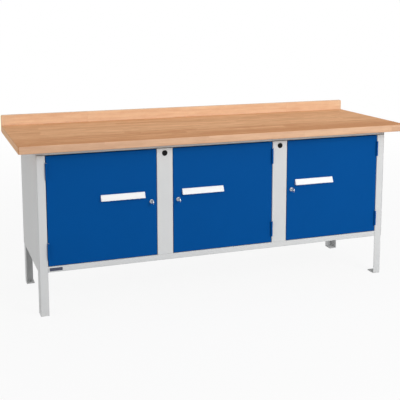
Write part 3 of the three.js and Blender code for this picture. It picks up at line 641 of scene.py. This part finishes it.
def strip_screw_places():
    """Places on the rear face of the strip, at the middle of the worktop's thickness."""
    count = bpy.context.scene.workbench_fittings.strip_screws
    low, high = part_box("rear_strip")
    top_low, top_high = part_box("worktop")
    margin = (high.x - low.x) / (2 * count)
    z = (top_low.z + top_high.z) / 2
    return [Vector((x, high.y, z)) for x in spaced(count, low.x + margin, high.x - margin)]


def strip_screw_hole():
    """Radius and depth of the holes in which the strip's screws are sunk."""
    settings = bpy.context.scene.workbench_fittings
    play = 0.0008
    sink = 0.0006
    return settings.screw_diameter / 2 + play, settings.screw_height + sink


class WORKBENCH_OT_boards(bpy.types.Operator):
    """Finish the beech worktop, and the strip behind it with the holes for its screws"""

    bl_idname = "workbench.boards"
    bl_label = "Beech boards"

    def execute(self, context):
        width = context.scene.workbench_fittings.beech_round
        finished("worktop", "Beech worktop", width)
        radius, depth = strip_screw_hole()
        drill = bmesh.new()
        for place in strip_screw_places():
            made = bmesh.ops.create_cone(
                drill, cap_ends=True, segments=32, radius1=radius, radius2=radius, depth=2 * depth
            )
            for vertex in made["verts"]:
                x, y, z = vertex.co
                vertex.co = place + Vector((x, -z, y))
        drill_object = new_object("strip_drill", as_mesh("strip_drill", drill))
        finished("rear_strip", "Beech strip", width, drill_object)
        bpy.data.objects.remove(drill_object)
        return {"FINISHED"}


class WORKBENCH_OT_steel_frame(bpy.types.Operator):
    """Finish the legs, rails and columns"""

    bl_idname = "workbench.steel_frame"
    bl_label = "Steel frame"

    def execute(self, context):
        width = context.scene.workbench_fittings.sheet_round
        legs = [f"leg_{end}_{side}" for end in ENDS for side in SIDES]
        rails = [f"{height}_rail_{end}" for height in HEIGHTS for end in ENDS]
        columns = [f"column_{side}" for side in SIDES]
        for solid in legs + rails + columns:
            finished(solid, "Grey paint", width)
        return {"FINISHED"}


class WORKBENCH_OT_cabinet_sheets(bpy.types.Operator):
    """Finish the side panels, partitions, back panel, floors and shelves"""

    bl_idname = "workbench.cabinet_sheets"
    bl_label = "Cabinet sheets"

    def execute(self, context):
        width = context.scene.workbench_fittings.sheet_round
        walls = [f"{kind}_{side}" for kind in ("side_panel", "partition") for side in SIDES]
        levels = [f"{kind}_{bay}" for kind in ("floor", "shelf") for bay in BAYS]
        for solid in ["back_panel"] + walls + levels:
            finished(solid, "Grey paint", width)
        return {"FINISHED"}


class WORKBENCH_OT_doors(bpy.types.Operator):
    """Finish the three doors"""

    bl_idname = "workbench.doors"
    bl_label = "Doors"

    def execute(self, context):
        width = context.scene.workbench_fittings.sheet_round
        for bay in BAYS:
            finished(f"door_{bay}", "Blue paint", width)
        return {"FINISHED"}


class WORKBENCH_OT_hinges(bpy.types.Operator):
    """Finish the hinge leaves and pins"""

    bl_idname = "workbench.hinges"
    bl_label = "Hinges"

    def execute(self, context):
        width = context.scene.workbench_fittings.metal_round
        for place in (f"{bay}_{height}" for bay in BAYS for height in HEIGHTS):
            finished(f"hinge_frame_leaf_{place}", "Blue paint", width)
            finished(f"hinge_door_leaf_{place}", "Blue paint", width)
            finished(f"hinge_pin_{place}", "Nickel plating", width)
        return {"FINISHED"}


def rounded_outline(half_width, half_height, radius, steps=5):
    """Points round a rectangle with round corners, about its middle."""
    points = []
    for quarter, (right, up) in enumerate(((1, 1), (-1, 1), (-1, -1), (1, -1))):
        centre = Vector((right * (half_width - radius), up * (half_height - radius)))
        for step in range(steps + 1):
            angle = math.radians(90) * (quarter + step / steps)
            points.append(centre + radius * Vector((math.cos(angle), math.sin(angle))))
    return points


def stepped_plate(name, middle, across, up, size, radius, steps):
    """Closed plate on a face: each step is how far its outline is drawn in, and its height off the face."""
    out = across.cross(up)
    made = bmesh.new()
    rings = []
    for inset, height in steps:
        outline = rounded_outline(size[0] / 2 - inset, size[1] / 2 - inset, max(radius - inset, 0.0001))
        rings.append([made.verts.new(middle + p.x * across + p.y * up + height * out) for p in outline])
    for lower, upper in zip(rings, rings[1:]):
        for index in range(len(lower)):
            after = (index + 1) % len(lower)
            made.faces.new((lower[index], lower[after], upper[after], upper[index]))
    made.faces.new(list(reversed(rings[0])))
    made.faces.new(rings[-1])
    mesh = as_mesh(name, made)
    mesh.shade_smooth()
    mesh.set_sharp_from_angle(angle=SHARP_ANGLE)
    return new_object(name, mesh)


def label_strip(bay):
    """Bare paper strip in the recess of a pull's slanting face."""
    thickness = bpy.context.scene.workbench_fittings.label_thickness
    hood = flat_faced(f"pull_{bay}")
    slanting = [face for face in hood.faces if face.normal.y < -0.5 and face.normal.z > 0.3]
    bed = max(slanting, key=lambda face: face.calc_area())
    across = Vector((1, 0, 0))
    up = bed.normal.cross(across)
    corners = [vertex.co for vertex in bed.verts]
    middle = sum(corners, Vector()) / len(corners)
    width = max((corner - middle).dot(across) for corner in corners) * 2
    height = max((corner - middle).dot(up) for corner in corners) * 2
    hood.free()
    play = 0.0004
    size = (width - 2 * play, height - 2 * play)
    corner_radius = 0.0006
    soft = thickness / 4
    steps = ((0, soft), (0, thickness - soft), (soft, thickness))
    return stepped_plate(f"label_strip_{bay}", middle, across, up, size, corner_radius, steps)


class WORKBENCH_OT_pulls(bpy.types.Operator):
    """Finish the hooded pulls and lay a bare paper strip in each"""

    bl_idname = "workbench.pulls"
    bl_label = "Pulls"

    def execute(self, context):
        width = context.scene.workbench_fittings.plastic_round
        for bay in BAYS:
            finished(f"pull_{bay}", "White plastic", width)
            strip = label_strip(bay)
            strip.data.materials.append(finish("Label paper"))
            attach(strip, f"{bay}_door")
        return {"FINISHED"}


class WORKBENCH_OT_locks(bpy.types.Operator):
    """Finish the locks and their keys"""

    bl_idname = "workbench.locks"
    bl_label = "Locks and keys"

    def execute(self, context):
        width = context.scene.workbench_fittings.metal_round
        for solid in (f"{kind}_{bay}" for bay in BAYS for kind in ("lock_body", "lock_core", "key")):
            finished(solid, "Nickel plating", width)
        return {"FINISHED"}


class WORKBENCH_OT_plugs(bpy.types.Operator):
    """Finish the plugs in the columns"""

    bl_idname = "workbench.plugs"
    bl_label = "Column plugs"

    def execute(self, context):
        width = context.scene.workbench_fittings.plastic_round
        for side in SIDES:
            finished(f"column_plug_{side}", "Black plastic", width, shape=finely_turned)
        return {"FINISHED"}


class WORKBENCH_OT_badge(bpy.types.Operator):
    """Put the bare plate on the left end of the bottom rail"""

    bl_idname = "workbench.badge"
    bl_label = "Bare plate"

    def execute(self, context):
        settings = context.scene.workbench_fittings
        low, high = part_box("bottom_rail_front")
        length, height, thickness = settings.badge_length, settings.badge_height, settings.badge_thickness
        middle = Vector((low.x + settings.badge_inset + length / 2, low.y, (low.z + high.z) / 2))
        corner_radius = 0.0018
        rim = 0.0011
        soft = 0.0002
        steps = (
            (0, 0),
            (0, thickness - soft),
            (soft, thickness),
            (rim, thickness),
            (rim + soft, thickness - 2 * soft),
        )
        plate = stepped_plate(
            "bare_plate", middle, Vector((1, 0, 0)), Vector((0, 0, 1)), (length, height), corner_radius, steps
        )
        plate.data.materials.append(finish("Badge plate"))
        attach(plate, "bench")
        return {"FINISHED"}


def fastener_tree():
    """Geometry node tree that stands a domed head with a sunk drive on every point, turned by chance."""
    tree = bpy.data.node_groups.new("Fastener heads", "GeometryNodeTree")
    sockets = {
        "Points": "NodeSocketGeometry",
        "Head Diameter": "NodeSocketFloat",
        "Head Height": "NodeSocketFloat",
        "Drive Diameter": "NodeSocketFloat",
        "Drive Depth": "NodeSocketFloat",
        "Drive Sides": "NodeSocketInt",
        "Seed": "NodeSocketInt",
        "Finish": "NodeSocketMaterial",
    }
    for label, kind in sockets.items():
        tree.interface.new_socket(label, in_out="INPUT", socket_type=kind)
    tree.interface.new_socket("Heads", in_out="OUTPUT", socket_type="NodeSocketGeometry")
    given = tree.nodes.new("NodeGroupInput").outputs

    height = given["Head Height"]
    drum = node(tree, "GeometryNodeMeshCylinder", {
        "Vertices": HEAD_SIDES,
        "Side Segments": HEAD_RINGS,
        "Radius": arithmetic(tree, "MULTIPLY", given["Head Diameter"], 0.5),
        "Depth": height,
    })
    place = tree.nodes.new("GeometryNodeInputPosition").outputs[0]
    level = node(tree, "ShaderNodeSeparateXYZ", {"Vector": place}).outputs["Z"]
    share = arithmetic(tree, "ADD", arithmetic(tree, "DIVIDE", level, height), 0.5)
    narrowing = arithmetic(tree, "MULTIPLY", arithmetic(tree, "POWER", share, 2.0), -HEAD_DRAW_IN)
    draw_in = arithmetic(tree, "SQRT", arithmetic(tree, "ADD", narrowing, 1.0))
    shrink = node(tree, "ShaderNodeCombineXYZ", {"X": draw_in, "Y": draw_in, "Z": 1.0}).outputs[0]
    lift = node(tree, "ShaderNodeCombineXYZ", {"Z": arithmetic(tree, "MULTIPLY", height, 0.5)}).outputs[0]
    domed = vector_arithmetic(tree, "MULTIPLY_ADD", place, shrink, lift)
    dome = node(tree, "GeometryNodeSetPosition", {"Geometry": drum.outputs["Mesh"], "Position": domed})

    punch = node(tree, "GeometryNodeMeshCylinder", {
        "Vertices": given["Drive Sides"],
        "Radius": arithmetic(tree, "MULTIPLY", given["Drive Diameter"], 0.5),
        "Depth": arithmetic(tree, "MULTIPLY", given["Drive Depth"], 2.0),
    })
    raised = node(tree, "ShaderNodeCombineXYZ", {"Z": height}).outputs[0]
    punch_up = node(tree, "GeometryNodeTransform", {"Geometry": punch.outputs["Mesh"], "Translation": raised})
    head = node(
        tree, "GeometryNodeMeshBoolean", {"Mesh 1": dome.outputs[0], "Mesh 2": punch_up.outputs[0]},
        operation="DIFFERENCE",
    )

    outward = node(tree, "GeometryNodeInputNamedAttribute", {"Name": "outward"}, data_type="FLOAT_VECTOR")
    upright = node(tree, "FunctionNodeAlignRotationToVector", {"Vector": outward.outputs[0]}, axis="Z")
    chance = node(tree, "FunctionNodeRandomValue", {3: math.tau, "Seed": given["Seed"]}, data_type="FLOAT")
    spin = node(tree, "FunctionNodeAxisAngleToRotation", {"Angle": chance.outputs[1]})
    turned = node(
        tree, "FunctionNodeRotateRotation", {"Rotation": upright.outputs[0], "Rotate By": spin.outputs[0]},
        rotation_space="LOCAL",
    )
    heads = node(tree, "GeometryNodeInstanceOnPoints", {
        "Points": given["Points"],
        "Instance": head.outputs["Mesh"],
        "Rotation": turned.outputs[0],
    })
    real = node(tree, "GeometryNodeRealizeInstances", {"Geometry": heads.outputs[0]})
    coated = node(tree, "GeometryNodeSetMaterial", {"Geometry": real.outputs[0], "Material": given["Finish"]})
    node(tree, "NodeGroupOutput", {"Heads": coated.outputs[0]})
    return tree


def fasteners(name, tree, places, sizes):
    """Piece with a head on every place. A place is a point and the direction that its head faces."""
    mesh = bpy.data.meshes.new(name)
    mesh.from_pydata([point for point, outward in places], [], [])
    facing = mesh.attributes.new("outward", "FLOAT_VECTOR", "POINT")
    facing.data.foreach_set("vector", [part for point, outward in places for part in outward])
    piece = new_object(name, mesh)
    heads = piece.modifiers.new("Heads", "NODES")
    heads.node_group = tree
    sockets = {item.name: item.identifier for item in tree.interface.items_tree if item.in_out == "INPUT"}
    for label, value in sizes.items():
        heads[sockets[label]] = value
    keep_shape(piece)
    piece.data.shade_smooth()
    piece.data.set_sharp_from_angle(angle=SHARP_ANGLE)
    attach(piece, "bench")
    return piece


def rivet_places():
    """Rivets through the back panel into the partitions, and through the rear legs into the panel."""
    rows = bpy.context.scene.workbench_fittings.rivet_rows
    outward = Vector((0, 1, 0))
    panel_low, panel_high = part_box("back_panel")
    margin = 0.035
    flush = 1e-5
    levels = spaced(rows, panel_low.z + margin, panel_high.z - margin)
    places = []
    for side in SIDES:
        wall = frame["nodes"][f"partition_{side}"].data
        rear = max(vertex.co.y for vertex in wall.vertices)
        flange = [vertex.co.x for vertex in wall.vertices if vertex.co.y > rear - flush]
        middle = (min(flange) + max(flange)) / 2
        places += [(Vector((middle, panel_high.y, z)), outward) for z in levels]
        leg_low, leg_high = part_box(f"leg_rear_{side}")
        middle = (leg_low.x + leg_high.x) / 2
        places += [(Vector((middle, leg_high.y, z)), outward) for z in levels]
    return places


def top_screw_places():
    """Screws up into the worktop, through the front rail's flange and the side panels' flanges."""
    count = bpy.context.scene.workbench_fittings.rail_screws
    outward = Vector((0, 0, -1))
    rail_low, rail_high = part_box("top_rail_front")
    rail_sheet = 0.002
    rail_margin = 0.16
    from_rear = 0.014
    y, z = rail_high.y - from_rear, rail_high.z - rail_sheet
    along = spaced(count, rail_low.x + rail_margin, rail_high.x - rail_margin)
    places = [(Vector((x, y, z)), outward) for x in along]
    side_sheet = 0.0015
    side_margin = 0.1
    side_screws = 3
    for side in SIDES:
        low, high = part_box(f"side_panel_{side}")
        x, z = (low.x + high.x) / 2, high.z - side_sheet
        along = spaced(side_screws, low.y + side_margin, high.y - side_margin)
        places += [(Vector((x, y, z)), outward) for y in along]
    return places


def head_sizes(diameter, height, drive_share, drive_sides):
    """Sizes of a fastener head for the inputs of its tree. The drive's width is a share of the head's."""
    return {
        "Head Diameter": diameter,
        "Head Height": height,
        "Drive Diameter": diameter * drive_share,
        "Drive Depth": height * DRIVE_DEPTH,
        "Drive Sides": drive_sides,
    }


class WORKBENCH_OT_fasteners(bpy.types.Operator):
    """Add the rivets on the back, the screws in the strip and the screws that hold the worktop"""

    bl_idname = "workbench.fasteners"
    bl_label = "Screws and rivets"

    def execute(self, context):
        settings = context.scene.workbench_fittings
        tree = fastener_tree()
        shared = {"Seed": settings.fastener_seed, "Finish": finish("Zinc plating")}
        rivet = head_sizes(settings.rivet_diameter, settings.rivet_height, drive_share=0.3, drive_sides=12)
        screw = head_sizes(settings.screw_diameter, settings.screw_height, drive_share=0.45, drive_sides=6)
        depth = strip_screw_hole()[1]
        rear = Vector((0, 1, 0))
        sunk = [(place - depth * rear, rear) for place in strip_screw_places()]
        fasteners("back_rivets", tree, rivet_places(), {**rivet, **shared})
        fasteners("strip_screws", tree, sunk, {**screw, **shared})
        fasteners("top_screws", tree, top_screw_places(), {**screw, **shared})
        return {"FINISHED"}


def seen_directly(tree):
    """1 for what the camera sees, itself or in metal and glass, and 0 for light that only falls."""
    rays = tree.nodes.new("ShaderNodeLightPath").outputs
    mirrored = arithmetic(tree, "MAXIMUM", rays["Is Glossy Ray"], rays["Is Transmission Ray"])
    return arithmetic(tree, "MAXIMUM", rays["Is Camera Ray"], mirrored)


def studio_sky(level):
    """World that lights at one level and is seen as white."""
    world = bpy.data.worlds.new("Studio sky")
    world.use_nodes = True
    tree = world.node_tree
    strength = arithmetic(tree, "MULTIPLY_ADD", seen_directly(tree), 1 - level, level)
    background = tree.nodes["Background"]
    background.inputs["Color"].default_value = WHITE
    tree.links.new(strength, background.inputs["Strength"])
    bpy.context.scene.world = world


def studio_floor(glow, near, far):
    """Wide pale floor that keeps the bench's shadow, and fades to plain white away from it."""
    made = bmesh.new()
    bmesh.ops.create_grid(made, x_segments=2, y_segments=2, size=FLOOR_HALF)
    floor = new_object("studio_floor", as_mesh("studio_floor", made))
    material = bpy.data.materials.new("Studio floor")
    material.use_nodes = True
    tree = material.node_tree
    tree.nodes.remove(tree.nodes["Principled BSDF"])
    place = tree.nodes.new("ShaderNodeTexCoord").outputs["Object"]
    clouds = noise(tree, place, 0.8, detail=2.0)
    tone = blended(tree, clouds, *FLOOR_TONES)
    matt = node(tree, "ShaderNodeBsdfDiffuse", {"Color": tone})
    white = node(tree, "ShaderNodeEmission", {"Color": WHITE, "Strength": 1.0})
    away = node(tree, "ShaderNodeVectorMath", {0: place}, operation="LENGTH").outputs["Value"]
    share = arithmetic(tree, "MULTIPLY", seen_directly(tree), spread(tree, away, near, far, glow, 1.0))
    mix = node(tree, "ShaderNodeMixShader", {0: share, 1: matt.outputs[0], 2: white.outputs[0]})
    tree.links.new(mix.outputs[0], tree.nodes["Material Output"].inputs["Surface"])
    floor.data.materials.append(material)


def studio_lamp(name, place, size, power):
    """Square soft lamp that faces the middle of the bench."""
    light = bpy.data.lights.new(name, "AREA")
    light.size = size
    light.energy = power
    lamp = new_object(name, light)
    lamp.location = place
    middle = (CAD_BOX[0] + CAD_BOX[1]) / 2
    lamp.rotation_euler = (middle - lamp.location).to_track_quat("-Z", "Y").to_euler()


class WORKBENCH_OT_stage(bpy.types.Operator):
    """Set up the pale floor, the soft light and the camera"""

    bl_idname = "workbench.stage"
    bl_label = "Studio stage"

    def execute(self, context):
        scene = context.scene
        settings = scene.workbench_stage
        scene.view_settings.view_transform = "Standard"
        studio_sky(settings.sky_level)
        studio_floor(settings.floor_glow, settings.floor_near, settings.floor_far)

        studio_lamp("Softbox", settings.softbox_place, settings.lamp_size, settings.softbox_power)
        studio_lamp("Overhead", settings.overhead_place, settings.lamp_size, settings.overhead_power)
        studio_lamp("Fill", settings.fill_place, settings.lamp_size, settings.fill_power)

        lens = bpy.data.cameras.new("Camera")
        lens.sensor_width = SENSOR_WIDTH
        lens.lens = settings.camera_lens
        lens.shift_x, lens.shift_y = settings.camera_shift
        camera = new_object("Camera", lens)
        camera.location = settings.camera_place
        camera.rotation_euler = (math.radians(90) - settings.camera_dip, 0, -settings.camera_turn)
        scene.camera = camera
        return {"FINISHED"}


SETTINGS = {
    "workbench_finishes": FinishSettings,
    "workbench_fittings": FittingSettings,
    "workbench_stage": StageSettings,
}

STEPS = (
    WORKBENCH_OT_stage,
    WORKBENCH_OT_boards,
    WORKBENCH_OT_steel_frame,
    WORKBENCH_OT_cabinet_sheets,
    WORKBENCH_OT_doors,
    WORKBENCH_OT_hinges,
    WORKBENCH_OT_pulls,
    WORKBENCH_OT_locks,
    WORKBENCH_OT_plugs,
    WORKBENCH_OT_badge,
    WORKBENCH_OT_fasteners,
)


class WORKBENCH_PT_sidebar(bpy.types.Panel):
    """Settings and steps of the workbench"""

    bl_idname = "WORKBENCH_PT_sidebar"
    bl_label = "Workbench"
    bl_space_type = "VIEW_3D"
    bl_region_type = "UI"
    bl_category = "Workbench"

    def draw(self, context):
        for name, group in SETTINGS.items():
            column = self.layout.column(align=True)
            for setting in group.__annotations__:
                column.prop(getattr(context.scene, name), setting)
        for step in STEPS:
            self.layout.operator(step.bl_idname)


CLASSES = (*SETTINGS.values(), *STEPS, WORKBENCH_PT_sidebar)


def register():
    for made in CLASSES:
        bpy.utils.register_class(made)
    for name, group in SETTINGS.items():
        setattr(bpy.types.Scene, name, PointerProperty(type=group))


def unregister():
    for name in SETTINGS:
        delattr(bpy.types.Scene, name)
    for made in reversed(CLASSES):
        bpy.utils.unregister_class(made)


def main():
    """Make the whole bench and its stage."""
    register()
    bpy.ops.workbench.stage()
    bpy.ops.workbench.boards()
    bpy.ops.workbench.steel_frame()
    bpy.ops.workbench.cabinet_sheets()
    bpy.ops.workbench.doors()
    bpy.ops.workbench.hinges()
    bpy.ops.workbench.pulls()
    bpy.ops.workbench.locks()
    bpy.ops.workbench.plugs()
    bpy.ops.workbench.badge()
    bpy.ops.workbench.fasteners()


if __name__ == "__main__":
    main()
